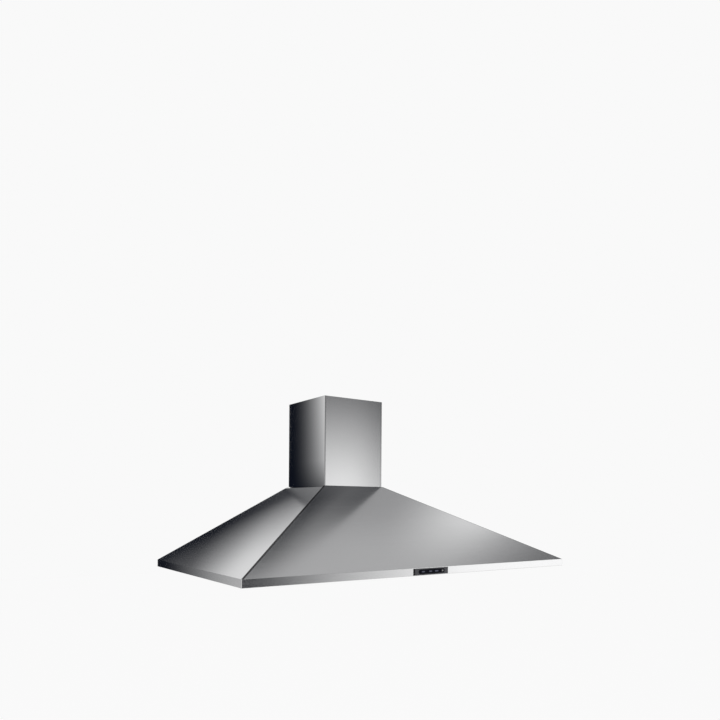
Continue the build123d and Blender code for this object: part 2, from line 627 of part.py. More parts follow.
def outlet_collar():
    fx, fy = collar_half()
    z0 = TOP_Z
    z1 = TOP_Z + COLLAR_FLANGE
    flange = block(-fx, fx, DUCT_Y - fy, DUCT_Y + fy, z0, z1)
    flange = chamfer(flange.edges().filter_by(Axis.Z), 5)
    hx, hy = HALF_SCROLL - SCROLL_WALL, THROAT_DEPTH / 2
    inner_r = SPIGOT_RADIUS - COLLAR_WALL
    body = flange + square_to_round(hx + COLLAR_WALL, hy + COLLAR_WALL, SPIGOT_RADIUS, z1, SPIGOT_BASE)
    body += rod_z(SPIGOT_RADIUS, SPIGOT_BASE, SPIGOT_TOP, 0, DUCT_Y)
    body -= block(-hx, hx, DUCT_Y - hy, DUCT_Y + hy, z0 - 1, z1)
    body -= square_to_round(hx, hy, inner_r, z1, SPIGOT_BASE)
    body -= rod_z(inner_r, SPIGOT_BASE, SPIGOT_TOP + 1, 0, DUCT_Y)
    seat_top = PIN_Z - FLAP_THICK / 2 - FIT
    seat = rod_z(inner_r + 0.5, seat_top - 1.5, seat_top, 0, DUCT_Y) - rod_z(inner_r - 3, 0, CHIMNEY_TOP, 0, DUCT_Y)
    body += seat
    body -= rod_x(PIN_RADIUS + SHAFT_FIT, -SPIGOT_RADIUS - 1, SPIGOT_RADIUS + 1, DUCT_Y, PIN_Z)
    for x, y in blower_screw_places():
        body -= rod_z(SCREW_RADIUS + 0.2, z0 - 1, z1 + 20, x, y)
    return body.solid()


def damper_pin():
    end = SPIGOT_RADIUS - 0.4
    return rod_x(PIN_RADIUS, -end, end, DUCT_Y, PIN_Z)


def knuckle_spans(sign):
    """Where a flap's hinge knuckles lie along the pin: the two flaps take turns."""
    reach = SPIGOT_RADIUS - COLLAR_WALL - 8
    count = 4
    pitch = 2 * reach / count
    first = 0 if sign < 0 else 1
    return [(-reach + i * pitch + FIT, -reach + (i + 1) * pitch - FIT) for i in range(first, count, 2)]


def damper_flap(sign):
    """Half disc; sign -1 is the flap towards the room and +1 the one towards the wall."""
    radius = SPIGOT_RADIUS - COLLAR_WALL - 0.8
    start = KNUCKLE_RADIUS + 0.6
    z0, z1 = PIN_Z - FLAP_THICK / 2, PIN_Z + FLAP_THICK / 2
    disc = rod_z(radius, z0, z1, 0, DUCT_Y)
    half_plane = block(-radius, radius, DUCT_Y + sign * start, DUCT_Y + sign * (radius + 1), z0 - 1, z1 + 1)
    flap = disc & half_plane
    for x0, x1 in knuckle_spans(sign):
        flap += rod_x(KNUCKLE_RADIUS, x0, x1, DUCT_Y, PIN_Z)
        flap += block(x0, x1, DUCT_Y + sign * 1.5, DUCT_Y + sign * (start + 1), z0, z1)
    rib = block(-radius * 0.6, radius * 0.6, DUCT_Y + sign * 24, DUCT_Y + sign * 25.2, z1, z1 + 2)
    flap += rib
    flap -= rod_x(PIN_RADIUS + SHAFT_FIT, -SPIGOT_RADIUS, SPIGOT_RADIUS, DUCT_Y, PIN_Z)
    return flap.solid()


# ---------------------------------------------------------------- blower
def spiral_arcs(grow):
    """Centre and radius of the four quarter turns, as (Y, Z) about the impeller's axis."""
    s = SCROLL_STEP
    centres = [(s / 2, s / 2), (s / 2, -s / 2), (-s / 2, -s / 2), (-s / 2, s / 2)]
    return [(centre, SCROLL_REACH - s / 2 + grow - i * s) for i, centre in enumerate(centres)]


def spiral_face(grow, top):
    """The scroll's section: four arcs that shrink round the impeller, and a straight throat.

    Drawn as (Y, Z) about the impeller's axis. grow moves the whole outline out.
    """
    s = SCROLL_STEP
    wall = SCROLL_REACH + grow
    tongue = SCROLL_REACH - THROAT_DEPTH - grow
    turns = spiral_arcs(grow)
    arcs = [CenterArc(centre, radius, -90 * (i + 1), 90) for i, (centre, radius) in enumerate(turns[:3])]
    last_centre, last_radius = turns[3]
    end = math.degrees(math.acos((tongue + s / 2) / last_radius))
    arcs.append(CenterArc(last_centre, last_radius, end, 90 - end))
    tip = arcs[3] @ 0
    lines = [Line((wall, s / 2), (wall, top)), Line((wall, top), (tongue, top)), Line((tongue, top), (tip.X, tip.Y))]
    return make_face(arcs + lines)


def scroll_prism(grow, top, x0, x1):
    profile = Plane((x0, AXIS_Y, AXIS_Z), x_dir=(0, 1, 0), z_dir=(1, 0, 0)) * spiral_face(grow, top)
    return extrude(profile, amount=x1 - x0)


def seam_clip_places():
    """Where the two halves clip together, on the outside of the spiral's wall."""
    places = []
    for (centre, radius), angle in zip(spiral_arcs(SCROLL_WALL), (-45, -135, -225)):
        y = AXIS_Y + centre[0] + radius * math.cos(math.radians(angle))
        z = AXIS_Z + centre[1] + radius * math.sin(math.radians(angle))
        places.append((y, z, angle))
    return places


def scroll_half(sign):
    """One moulded half: side wall with a rolled inlet, spiral wall, throat flange and bosses."""
    top = PLATE_UNDER - AXIS_Z
    lo, hi = (0, HALF_SCROLL) if sign > 0 else (-HALF_SCROLL, 0)
    shell = scroll_prism(SCROLL_WALL, top, lo, hi)
    fx, fy = collar_half()
    flange = block(0, sign * fx, DUCT_Y - fy, DUCT_Y + fy, PLATE_UNDER - 3, PLATE_UNDER)
    shell += flange
    for y, z, angle in seam_clip_places():
        shell += Pos(sign * CLIP_LENGTH / 2, y, z) * Rot(angle, 0, 0) * Box(CLIP_LENGTH, 2 * CLIP_RISE, CLIP_WIDTH)
    bell_x = sign * (HALF_SCROLL - SCROLL_WALL - BELL_LENGTH)
    inner_lo, inner_hi = (-1, HALF_SCROLL - SCROLL_WALL) if sign > 0 else (-HALF_SCROLL + SCROLL_WALL, 1)
    shell -= scroll_prism(0, top + 5, inner_lo, inner_hi)
    shell += rod_x(INLET_RADIUS + 1.8, bell_x, sign * (HALF_SCROLL - 0.5), AXIS_Y, AXIS_Z)
    mouth = rod_x(INLET_RADIUS, bell_x - sign, sign * (HALF_SCROLL + 1), AXIS_Y, AXIS_Z)
    shell -= mouth
    for x, y in blower_screw_places():
        shell -= rod_z(SCREW_RADIUS - 0.1, PLATE_UNDER - 12, PLATE_UNDER + 1, x, y)
    if sign < 0:
        for y, z in spider_feet():
            shell -= rod_x(SCREW_RADIUS + 0.1, -HALF_SCROLL - 1, -HALF_SCROLL + 4, y, z)
    else:
        y, z = capacitor_place()
        shell -= rod_x(4.1, HALF_SCROLL - 5, HALF_SCROLL + 1, y, z)
    return shell.solid()


def blade_solids():
    """The wheel's curved blades, side by side round the axis, from one end ring to the other."""
    tip = IMPELLER_RADIUS - 0.4
    middle = (BLADE_INNER + tip) / 2
    turn = math.degrees(BLADE_THICK / middle)

    def at(radius, degrees):
        return (radius * math.cos(math.radians(degrees)), radius * math.sin(math.radians(degrees)))

    lead = ThreePointArc(at(BLADE_INNER, 0), at(middle, BLADE_SWEEP * 0.4), at(tip, BLADE_SWEEP))
    back = ThreePointArc(at(BLADE_INNER, -turn), at(middle, BLADE_SWEEP * 0.4 - turn), at(tip, BLADE_SWEEP - turn))
    blade = make_face([lead, back, Line(lead @ 0, back @ 0), Line(lead @ 1, back @ 1)])
    inside = IMPELLER_LENGTH / 2 - RING_THICK
    start = Plane((-inside, AXIS_Y, AXIS_Z), x_dir=(0, 1, 0), z_dir=(1, 0, 0))
    angles = [360 * i / BLADE_COUNT for i in range(BLADE_COUNT)]
    return [extrude(start * (Rot(0, 0, angle) * blade), amount=2 * inside) for angle in angles]


def impeller_blades():
    return group(blade_solids())


def impeller_ring(sign):
    """End ring that holds one end of every blade round an open inlet."""
    inside, outside = IMPELLER_LENGTH / 2 - RING_THICK, IMPELLER_LENGTH / 2
    ring = rod_x(IMPELLER_RADIUS, sign * inside, sign * outside, AXIS_Y, AXIS_Z)
    return ring - rod_x(BLADE_INNER - 0.6, sign * (inside - 1), sign * (outside + 1), AXIS_Y, AXIS_Z)


def impeller_disc():
    """Centre disc, slotted for the blades, with the hub that takes the shaft."""
    disc = rod_x(BLADE_INNER + DISC_REACH, -DISC_THICK / 2, DISC_THICK / 2, AXIS_Y, AXIS_Z) - blade_solids()
    disc += rod_x(HUB_RADIUS, -5, 18, AXIS_Y, AXIS_Z)
    return (disc - rod_x(SHAFT_RADIUS + 0.02, -6, 19, AXIS_Y, AXIS_Z)).solid()


def motor_left():
    """X of the motor's outer end, where the spider holds it."""
    return -HALF_SCROLL - GROMMET_THICK


def motor_body():
    x0 = motor_left()
    x1 = x0 + MOTOR_LENGTH
    r = MOTOR_RADIUS
    points = [(0, x0), (18, x0), (18, x0 + 6), (r, x0 + 12), (r, x1 - 8), (12, x1 - 2), (12, x1 + 4), (0, x1 + 4)]
    body = turned(points, Pos(0, AXIS_Y, AXIS_Z) * Rot(0, 90, 0))
    return (body - rod_x(SHAFT_RADIUS + SHAFT_FIT, x0 + 10, x1 + 5, AXIS_Y, AXIS_Z)).solid()


def motor_shaft():
    return rod_x(SHAFT_RADIUS, motor_left() + 10.5, 26, AXIS_Y, AXIS_Z)


def impeller_nut():
    nut = Pos(18, AXIS_Y, AXIS_Z) * Rot(0, 90, 0) * extrude(RegularPolygon(7.5, 6), amount=6)
    return nut - rod_x(SHAFT_RADIUS + 0.02, 17, 25, AXIS_Y, AXIS_Z)


def spider_feet():
    angles = [90, 210, 330]
    return [
        (AXIS_Y + SPIDER_REACH * math.cos(math.radians(a)), AXIS_Z + SPIDER_REACH * math.sin(math.radians(a)))
        for a in angles
    ]


def motor_spider():
    """Three-armed plate across the left inlet that carries the motor."""
    x1 = motor_left()
    x0 = x1 - SPIDER_THICK
    plate = rod_x(24, x0, x1, AXIS_Y, AXIS_Z)
    for angle, (y, z) in zip((90, 210, 330), spider_feet()):
        arm = Pos((x0 + x1) / 2, AXIS_Y, AXIS_Z) * Rot(angle, 0, 0) * Pos(0, SPIDER_REACH / 2, 0) * Box(SPIDER_THICK, SPIDER_REACH, 11)
        plate += arm
        plate += rod_x(8, x0, x1, y, z)
    for y, z in spider_feet():
        plate -= rod_x(SCREW_RADIUS + 0.1, x0 - 1, x1 + 1, y, z)
    return plate.solid()


def motor_grommets():
    x0, x1 = motor_left(), -HALF_SCROLL
    return group([rod_x(6.5, x0, x1, y, z) - rod_x(SCREW_RADIUS + 0.1, x0 - 1, x1 + 1, y, z) for y, z in spider_feet()])


def motor_screws():
    x = motor_left() - SPIDER_THICK
    screw = Rot(0, -90, 0) * screw_z(0, 0, 0, GROMMET_THICK + SPIDER_THICK + 3.5)
    return group([Pos(x, y, z) * screw for y, z in spider_feet()])


def capacitor_place():
    return DUCT_Y + 8, PLATE_UNDER - CAPACITOR_DROP


def run_capacitor():
    y, z = capacitor_place()
    x0 = HALF_SCROLL
    can = rod_x(CAPACITOR_RADIUS, x0, x0 + CAPACITOR_LENGTH, y, z)
    can = chamfer(can.edges().sort_by(Axis.X)[-1], 1.5)
    can += rod_x(4, x0 - 4, x0, y, z)
    for dz in (-5, 5):
        can += block(x0 + CAPACITOR_LENGTH - 0.5, x0 + CAPACITOR_LENGTH + 7, y - 3, y + 3, z + dz - 0.4, z + dz + 0.4)
    return can.solid()


def screw_z(x, y, top, length):
    """Hexagon-head screw pointing down from top."""
    head = extrude(RegularPolygon(SCREW_HEAD, 6), amount=2.4)
    shank = Pos(0, 0, -length) * extrude(RegularPolygon(SCREW_RADIUS - 0.15, 6), amount=length)
    return Pos(x, y, top) * (head + shank)


def blower_screws():
    top = TOP_Z + COLLAR_FLANGE
    return group([screw_z(x, y, top, 9) for x, y in blower_screw_places()])


def chimney_screws():
    return group([screw_z(x, y, TOP_Z + SHEET, 8) for x, y in chimney_screw_places()])


# ---------------------------------------------------------------- electronics
def box_span():
    """Corners of the electronics box on the back panel, left of the blower."""
    x1 = motor_left() - SPIDER_THICK - 12
    x0 = x1 - BOX_WIDTH
    z0 = 34.0
    return x0, x1, -SHEET - BOX_DEPTH, -SHEET, z0, z0 + BOX_HEIGHT


def electronics_box():
    x0, x1, y0, y1, z0, z1 = box_span()
    w = BOX_WALL
    box = block(x0, x1, y0, y1, z0, z1)
    box = chamfer(box.edges().filter_by(Axis.Y), 3)
    box -= block(x0 + w, x1 - w, y0 - 1, y1 - w, z0 + w, z1 - w)
    gx, gy = gland_place()
    box -= rod_z(8.1, z1 - w - 1, z1 + 1, gx, gy)
    for x, z in board_posts():
        box += block(x - 3, x + 3, y1 - w - 6, y1 - w, z - 3, z + 3)
    return box.solid()


def board_posts():
    x0, x1, y0, y1, z0, z1 = box_span()
    return [(x, z) for x in (x0 + 10, x1 - 10) for z in (z0 + 10, z1 - 14)]


def electronics_lid():
    x0, x1, y0, y1, z0, z1 = box_span()
    w = BOX_WALL
    lid = block(x0, x1, y0 - w, y0, z0, z1)
    lid = chamfer(lid.edges().filter_by(Axis.Y), 3)
    lip = block(x0 + w + 0.2, x1 - w - 0.2, y0, y0 + 3, z0 + w + 0.2, z1 - w - 0.2)
    lip -= block(x0 + 2 * w + 0.2, x1 - 2 * w - 0.2, y0 - 1, y0 + 4, z0 + 2 * w + 0.2, z1 - 2 * w - 0.2)
    return lid + lip


def power_board():
    x0, x1, y0, y1, z0, z1 = box_span()
    y = y1 - BOX_WALL - 6
    board = block(x0 + 5, x1 - 5, y - BOARD_THICK, y, z0 + 5, z1 - 9)
    board += block(x0 + 14, x0 + 42, y - BOARD_THICK - 18, y - BOARD_THICK, z0 + 20, z0 + 46)
    for i in range(3):
        board += block(x0 + 50 + 15 * i, x0 + 60 + 15 * i, y - BOARD_THICK - 14, y - BOARD_THICK, z0 + 12, z0 + 30)
    return board.solid()


def gland_place():
    x0, x1, y0, y1, z0, z1 = box_span()
    return x0 + 22, (y0 + y1) / 2


def cable_gland():
    x, y = gland_place()
    z = box_span()[5]
    body = turned([(4.5, z - 6), (8, z - 6), (8, z + 5), (11, z + 5), (10.5, z + 12), (7, z + 18), (4.5, z + 18)], Pos(x, y, 0))
    return body + (Pos(x, y, z) * extrude(RegularPolygon(11.5, 6), amount=5) - rod_z(4.5, z - 1, z + 6, x, y))


# ---------------------------------------------------------------- write every node
def main():
    os.makedirs("parts", exist_ok=True)
    save(canopy_front(), "canopy_front_panel")
    save(canopy_side(-1), "canopy_left_panel")
    save(canopy_side(1), "canopy_right_panel")
    save(canopy_back(), "canopy_back_panel")
    save(hanging_plates(), "hanging_plates")
    save(canopy_top(), "canopy_top_plate")
    save(rim_band(), "rim_band")
    save(underside_plate(), "underside_plate")
    for side, x in lamp_places().items():
        save(lamp_housing(x), f"lamp_housing_{side}")
        save(lamp_lens(x), f"lamp_lens_{side}")
        save(lamp_bulb(x), f"lamp_bulb_{side}")
    for side, x in zip(FILTER_NAMES, WINDOW_CENTRES):
        save(filter_frame(x), f"filter_frame_{side}")
        save(filter_mesh(x), f"filter_mesh_{side}")
        save(filter_latch(x), f"filter_latch_{side}")
        save(latch_spring(x), f"latch_spring_{side}")
    save(control_fascia(), "control_fascia")
    save(control_housing(), "control_housing")
    save(control_board(), "control_board")
    for name, x in BUTTON_PLACES.items():
        save(button(x, False), name)
    save(button(LIGHT_BUTTON_PLACE, True), "button_light")
    save(chimney_lower(), "chimney_lower_cover")
    save(chimney_upper(), "chimney_upper_cover")
    save(chimney_bracket(), "chimney_wall_bracket")
    save(chimney_screws(), "chimney_screws")
    save(outlet_collar(), "outlet_collar")
    save(damper_pin(), "damper_pin")
    save(damper_flap(-1), "damper_flap_front")
    save(damper_flap(1), "damper_flap_rear")
    save(scroll_half(-1), "blower_scroll_left")
    save(scroll_half(1), "blower_scroll_right")
    save(blower_screws(), "blower_screws")
    save(impeller_blades(), "impeller_blades")
    save(impeller_ring(-1), "impeller_ring_left")
    save(impeller_ring(1), "impeller_ring_right")
    save(impeller_disc(), "impeller_disc")
    save(impeller_nut(), "impeller_nut")
    save(motor_body(), "motor_body")
    save(motor_shaft(), "motor_shaft")
    save(motor_spider(), "motor_spider")
    save(motor_grommets(), "motor_grommets")
    save(motor_screws(), "motor_screws")
    save(run_capacitor(), "run_capacitor")
    save(electronics_box(), "electronics_box")
    save(electronics_lid(), "electronics_lid")
    save(power_board(), "power_board")
    save(cable_gland(), "cable_gland")


main()
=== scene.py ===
import json
import math

import bpy
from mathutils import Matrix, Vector


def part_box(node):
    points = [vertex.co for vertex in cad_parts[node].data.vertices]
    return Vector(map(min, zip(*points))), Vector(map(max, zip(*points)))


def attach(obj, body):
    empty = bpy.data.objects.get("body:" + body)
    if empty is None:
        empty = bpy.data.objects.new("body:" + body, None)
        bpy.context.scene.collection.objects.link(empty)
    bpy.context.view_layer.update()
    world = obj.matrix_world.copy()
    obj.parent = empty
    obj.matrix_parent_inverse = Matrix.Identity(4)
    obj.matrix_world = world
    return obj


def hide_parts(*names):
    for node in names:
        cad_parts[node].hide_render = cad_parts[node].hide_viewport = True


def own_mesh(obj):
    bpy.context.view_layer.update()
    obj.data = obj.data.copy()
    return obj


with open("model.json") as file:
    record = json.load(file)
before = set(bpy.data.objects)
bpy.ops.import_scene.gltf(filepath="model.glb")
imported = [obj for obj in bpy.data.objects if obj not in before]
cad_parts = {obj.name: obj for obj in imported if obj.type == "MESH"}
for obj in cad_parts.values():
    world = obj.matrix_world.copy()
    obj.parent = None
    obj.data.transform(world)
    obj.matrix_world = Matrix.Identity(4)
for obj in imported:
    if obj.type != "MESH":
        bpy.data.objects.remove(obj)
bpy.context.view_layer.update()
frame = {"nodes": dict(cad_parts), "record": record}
nodes = frame["nodes"]
slot_of = {part["node"]: part["material_slot"] for part in frame["record"]["subparts"]}


def new_object(name, data):
    made = bpy.data.objects.new(name, data)
    bpy.context.scene.collection.objects.link(made)
    return made


# ------------------------------------------------------------------ node trees
BEVEL_SAMPLES = 4
MAIN_SHARE, REST_SHARE = 0.6, 0.4
NOISE_RANGE = (0.3, 0.7)


class Graph:
    """Short calls for building a node tree."""

    def __init__(self, tree):
        self.tree = tree
        tree.nodes.clear()

    def add(self, kind, attrs=None, inputs=None):
        """A new node with these attributes and inputs."""
        made = self.tree.nodes.new(kind)
        for key, value in (attrs or {}).items():
            setattr(made, key, value)
        for key, value in (inputs or {}).items():
            self.set(made.inputs[key], value)
        return made

    def set(self, socket, value):
        """Links socket to another node's output, or gives it a plain value."""
        if isinstance(value, bpy.types.NodeSocket):
            self.tree.links.new(value, socket)
        else:
            socket.default_value = value

    def fill(self, made, first, *values):
        """Sets a node's inputs from number first on."""
        for socket, value in zip(made.inputs[first:first + len(values)], values):
            self.set(socket, value)

    def show(self, shader, output="ShaderNodeOutputMaterial"):
        """Makes shader what the tree gives."""
        self.set(self.add(output).inputs["Surface"], shader)

    # numbers
    def math(self, operation, a, b=0.0, clamp=False):
        made = self.add("ShaderNodeMath", {"operation": operation, "use_clamp": clamp})
        self.fill(made, 0, a, b)
        return made.outputs[0]

    def plus(self, a, b):
        return self.math("ADD", a, b)

    def minus(self, a, b):
        return self.math("SUBTRACT", a, b)

    def times(self, a, b):
        return self.math("MULTIPLY", a, b)

    def least(self, a, b):
        return self.math("MINIMUM", a, b)

    def most(self, a, b):
        return self.math("MAXIMUM", a, b)

    def gap(self, a, b):
        """How far apart two numbers are."""
        return self.math("ABSOLUTE", self.minus(a, b))

    def mostly(self, main, rest):
        """Mostly the first number, with some of the second."""
        return self.plus(self.times(main, MAIN_SHARE), self.times(rest, REST_SHARE))

    def blend(self, share, a, b):
        """Number a where share is 0, b where it is 1."""
        made = self.add("ShaderNodeMix", {"data_type": "FLOAT"})
        self.set(made.inputs[0], share)
        self.fill(made, 2, a, b)
        return made.outputs[0]

    def ramp(self, value, low, high, to_low, to_high, kind="SMOOTHSTEP"):
        """Maps value from low..high to to_low..to_high with soft ends, clamped."""
        made = self.add("ShaderNodeMapRange", {"interpolation_type": kind, "clamp": True})
        self.fill(made, 0, value, low, high, to_low, to_high)
        return made.outputs[0]

    def line(self, value, low, high, to_low, to_high):
        """The same with a straight slope."""
        return self.ramp(value, low, high, to_low, to_high, "LINEAR")

    def rise(self, value, low, high, top=1.0):
        """From 0 at low to top at high."""
        return self.ramp(value, low, high, 0.0, top)

    def fall(self, value, low, high, top=1.0):
        """From top at low to 0 at high."""
        return self.ramp(value, low, high, top, 0.0)

    # places and patterns
    def place(self, stretch=(1, 1, 1)):
        """Object coordinates, which are the shared frame's at rest, stretched."""
        coords = self.add("ShaderNodeTexCoord").outputs["Object"]
        made = self.add("ShaderNodeMapping", inputs={"Vector": coords, "Scale": stretch})
        return made.outputs[0]

    def xyz(self):
        """The object coordinates, one by one."""
        return self.add("ShaderNodeSeparateXYZ", inputs={"Vector": self.place()}).outputs

    def noise(self, scale, stretch=(1, 1, 1), detail=3.0, rough=0.5):
        made = self.add("ShaderNodeTexNoise", inputs={
            "Vector": self.place(stretch), "Scale": scale, "Detail": detail, "Roughness": rough})
        return made.outputs["Fac"]

    def marks(self, stretch):
        """Fine marks, about stretch[i] of them to the metre along axis i."""
        return self.noise(1.0, stretch, rough=0.6)

    # colours, normals and shaders
    def tint(self, share, dark, light):
        """Colour dark where share is 0, light where it is 1."""
        made = self.add("ShaderNodeMix", {"data_type": "RGBA"})
        self.set(made.inputs[0], share)
        for socket, color in zip(made.inputs[6:8], (dark, light)):
            self.set(socket, color if isinstance(color, bpy.types.NodeSocket) else (*color, 1.0))
        return made.outputs[2]

    def mottle(self, share, color, dark, light):
        """The colour, dark times as bright where share is 0 and light times where it is 1."""
        return self.tint(share, *(tuple(max(0.0, min(1.0, c * k)) for c in color) for k in (dark, light)))

    def bump(self, height, strength, depth, normal=None):
        made = self.add("ShaderNodeBump", inputs={
            "Height": height, "Strength": strength, "Distance": depth})
        if normal is not None:
            self.set(made.inputs["Normal"], normal)
        return made.outputs["Normal"]

    def soft_edge(self, radius):
        made = self.add("ShaderNodeBevel", {"samples": BEVEL_SAMPLES}, {"Radius": radius})
        return made.outputs["Normal"]

    def choose(self, share, a, b):
        """Shader a where share is 0, b where it is 1."""
        made = self.add("ShaderNodeMixShader")
        self.fill(made, 0, share, a, b)
        return made.outputs[0]

    def seen(self):
        """1 where the eye looks, straight on, mirrored or through glass; 0 where matt faces gather light."""
        rays = self.add("ShaderNodeLightPath").outputs
        mirrored = self.plus(rays["Is Camera Ray"], rays["Is Glossy Ray"])
        return self.math("ADD", mirrored, rays["Is Transmission Ray"], True)


def new_material(name):
    material = bpy.data.materials.new(name)
    material.use_nodes = True
    return material, Graph(material.node_tree)


def principled(name, metallic=0.0, ior=1.5):
    material, g = new_material(name)
    surface = g.add("ShaderNodeBsdfPrincipled", inputs={"Metallic": metallic, "IOR": ior})
    g.show(surface.outputs["BSDF"])
    return material, g, surface


def dress(g, surface, color, rough, normal):
    for key, value in (("Base Color", color), ("Roughness", rough), ("Normal", normal)):
        g.set(surface.inputs[key], value)


# ------------------------------------------------------------------ painted shade at the sheets' seams and the chimney's bends
# The canopy's planes, in metres from the wall, the centre line and the rim's lower edge.
RIM_TOP, CANOPY_TOP = 0.017, 0.203
HALF_WIDTH, DEPTH = 0.45, 0.5
TOP_HALF_WIDTH, TOP_DEPTH = 0.093, 0.193

# The colour of the painted shade at the seams and bends.
SEAM_PAINTED_SHADE = (0.03, 0.03, 0.032)
# Where a seam's painted shade starts and ends, in metres behind the front panel's or a side panel's plane.
FRONT_FOLD = (0.008, 0.012)
SIDE_FOLD = (0.0003, 0.0006)
RIDGE_PAINTED_SHADE = (0.0016, 0.0024)
# The bends' painted shades: where each gets darker and paler again across the chimney, and how dark it is.
LEFT_BEND = ((-0.0899, -0.0895), (-0.0868, -0.0853), 0.5)
RIGHT_BEND = ((0.082, 0.084), (0.0895, 0.0899), 0.12)


def behind_side(g):
    """How far a point lies behind the plane of the nearer side panel's outer face."""
    at = g.xyz()
    run, rise = HALF_WIDTH - TOP_HALF_WIDTH, CANOPY_TOP - RIM_TOP
    length = math.hypot(run, rise)
    out = g.times(g.minus(HALF_WIDTH, g.math("ABSOLUTE", at["X"])), rise / length)
    up = g.times(g.minus(at["Z"], RIM_TOP), run / length)
    return g.minus(out, up)


def flange_shade(g):
    """Painted shade on the side panels' folds, in the gap behind the front panel's edge."""
    at = g.xyz()
    slope = (DEPTH - TOP_DEPTH) / (CANOPY_TOP - RIM_TOP)
    front = g.plus(g.times(g.minus(CANOPY_TOP, at["Z"]), slope), TOP_DEPTH)
    near_front = g.fall(g.plus(front, at["Y"]), *FRONT_FOLD)
    return g.times(near_front, g.rise(behind_side(g), *SIDE_FOLD))


def edge_shade(g):
    """Painted shade on a thin strip of the front panel along each ridge."""
    return g.fall(behind_side(g), *RIDGE_PAINTED_SHADE)


def bend_shade(g):
    """Painted shade at the bends at both sides of the chimney's front, which turn away from the light."""
    x = g.xyz()["X"]
    left, right = (g.times(g.rise(x, *darker, share), g.fall(x, *paler))
                   for darker, paler, share in (LEFT_BEND, RIGHT_BEND))
    return g.plus(left, right)


# ------------------------------------------------------------------ materials
# Marks to the metre across and along brushed steel's grain, and the share of them in its broad bands.
GRAIN_ACROSS, GRAIN_ALONG, BAND_SHARE = 2600.0, 22.0, 0.16
# How far each kind of edge is rounded in its shading, in metres.
STEEL_EDGE, SHEET_EDGE, TURNED_EDGE = 0.0005, 0.0004, 0.0003
PLASTIC_IOR = 1.48


def brushed(name, color, axis, rough=0.16, depth=0.000004, streak=0.035, painted_shade=None):
    """Sheet steel with a satin grain along one axis. The optional mask, a function of the graph, is 1 where painted
    shade darkens it at a seam or a bend.
    """
    material, g, surface = principled(name, metallic=1.0)
    grain = [GRAIN_ACROSS] * 3
    grain[axis] = GRAIN_ALONG
    fine = g.marks(grain)
    band = g.marks([number * BAND_SHARE for number in grain])
    lines = g.mostly(fine, band)
    tone = g.mottle(g.line(lines, *NOISE_RANGE, 0, 1), color, dark=1 - streak, light=1 + streak)
    # Painted shade at a seam or a bend darkens the steel's colour.
    if painted_shade:
        tone = g.tint(painted_shade(g), tone, SEAM_PAINTED_SHADE)
    gloss = g.line(lines, *NOISE_RANGE, rough - 0.02, rough + 0.025)
    patchy = g.ramp(g.noise(scale=5.0), 0.35, 0.7, -0.01, 0.012)
    dress(g, surface, color=tone, rough=g.plus(gloss, patchy),
          normal=g.bump(fine, strength=0.3, depth=depth, normal=g.soft_edge(STEEL_EDGE)))
    return material


def spangled(name, color, rough=0.42, cell=110.0):
    """Zinc-coated sheet: dull crystals of slightly different tone."""
    material, g, surface = principled(name, metallic=1.0)
    cells = g.add("ShaderNodeTexVoronoi", inputs={"Vector": g.place(), "Scale": cell})
    tone = g.add("ShaderNodeSeparateColor", inputs={"Color": cells.outputs["Color"]}).outputs["Red"]
    mixed = g.mostly(tone, g.noise(scale=30.0))
    dress(g, surface, color=g.mottle(mixed, color, dark=0.82, light=1.12),
          rough=g.line(tone, 0.0, 1.0, rough - 0.08, rough + 0.1),
          normal=g.bump(mixed, strength=0.25, depth=0.00005, normal=g.soft_edge(SHEET_EDGE)))
    return material


def turned_metal(name, color, rough, stretch=(900, 30, 30)):
    """Machined or plated metal with fine marks and a little tarnish."""
    material, g, surface = principled(name, metallic=1.0)
    marks = g.marks(stretch)
    tarnish = g.rise(g.noise(scale=70.0), *NOISE_RANGE)
    dress(g, surface, color=g.mottle(tarnish, color, dark=0.88, light=1.08),
          rough=g.line(marks, *NOISE_RANGE, rough - 0.05, rough + 0.08),
          normal=g.bump(marks, strength=0.3, depth=0.00003, normal=g.soft_edge(TURNED_EDGE)))
    return material


def moulded(name, color, rough, grain=1500.0, depth=0.00004, gloss=0.5, painted_box=None):
    """Plastic with a moulded grain and slight variation in its gloss, and at most one box painted in another colour.
    """
    material, g, surface = principled(name, ior=PLASTIC_IOR)
    surface.inputs["Specular IOR Level"].default_value = gloss
    fine = g.noise(grain, detail=2.0)
    cloud = g.noise(scale=25.0, detail=4.0)
    body = g.mottle(g.rise(cloud, *NOISE_RANGE), color, dark=0.9, light=1.1)
    # The painted box: painted shade at the fascia's left end, or a paler mark on a button.
    if painted_box:
        box_colour, *box = painted_box
        body = g.tint(painted_box_share(g, *box), body, box_colour)
    dress(g, surface, color=body, rough=g.ramp(cloud, *NOISE_RANGE, rough - 0.04, rough + 0.07),
          normal=g.bump(fine, strength=0.4, depth=depth, normal=g.soft_edge(SHEET_EDGE)))
    return material


def painted_box_share(g, x, half_x, half_z, soft):
    """1 within a box on the control panel's face, at x on its middle line, and 0 outside it."""
    at = g.xyz()
    off_x = g.minus(g.gap(at["X"], x), half_x)
    off_z = g.minus(g.gap(at["Z"], PANEL_Z), half_z)
    return g.fall(g.most(off_x, off_z), 0.0, soft)


def board_green(name):
    """Solder mask with the faint raised lines of the copper tracks below it."""
    material, g, surface = principled(name)
    tracks = g.add("ShaderNodeTexBrick", inputs={
        "Vector": g.place((1, 0.35, 1)), "Scale": 160.0, "Mortar Size": 0.03,
        "Brick Width": 1.7, "Row Height": 0.5}).outputs["Fac"]
    dress(g, surface, color=g.tint(tracks, (0.018, 0.12, 0.05), (0.05, 0.24, 0.1)),
          rough=g.ramp(g.noise(scale=60.0), *NOISE_RANGE, 0.22, 0.36),
          normal=g.bump(tracks, strength=0.4, depth=0.00005))
    return material


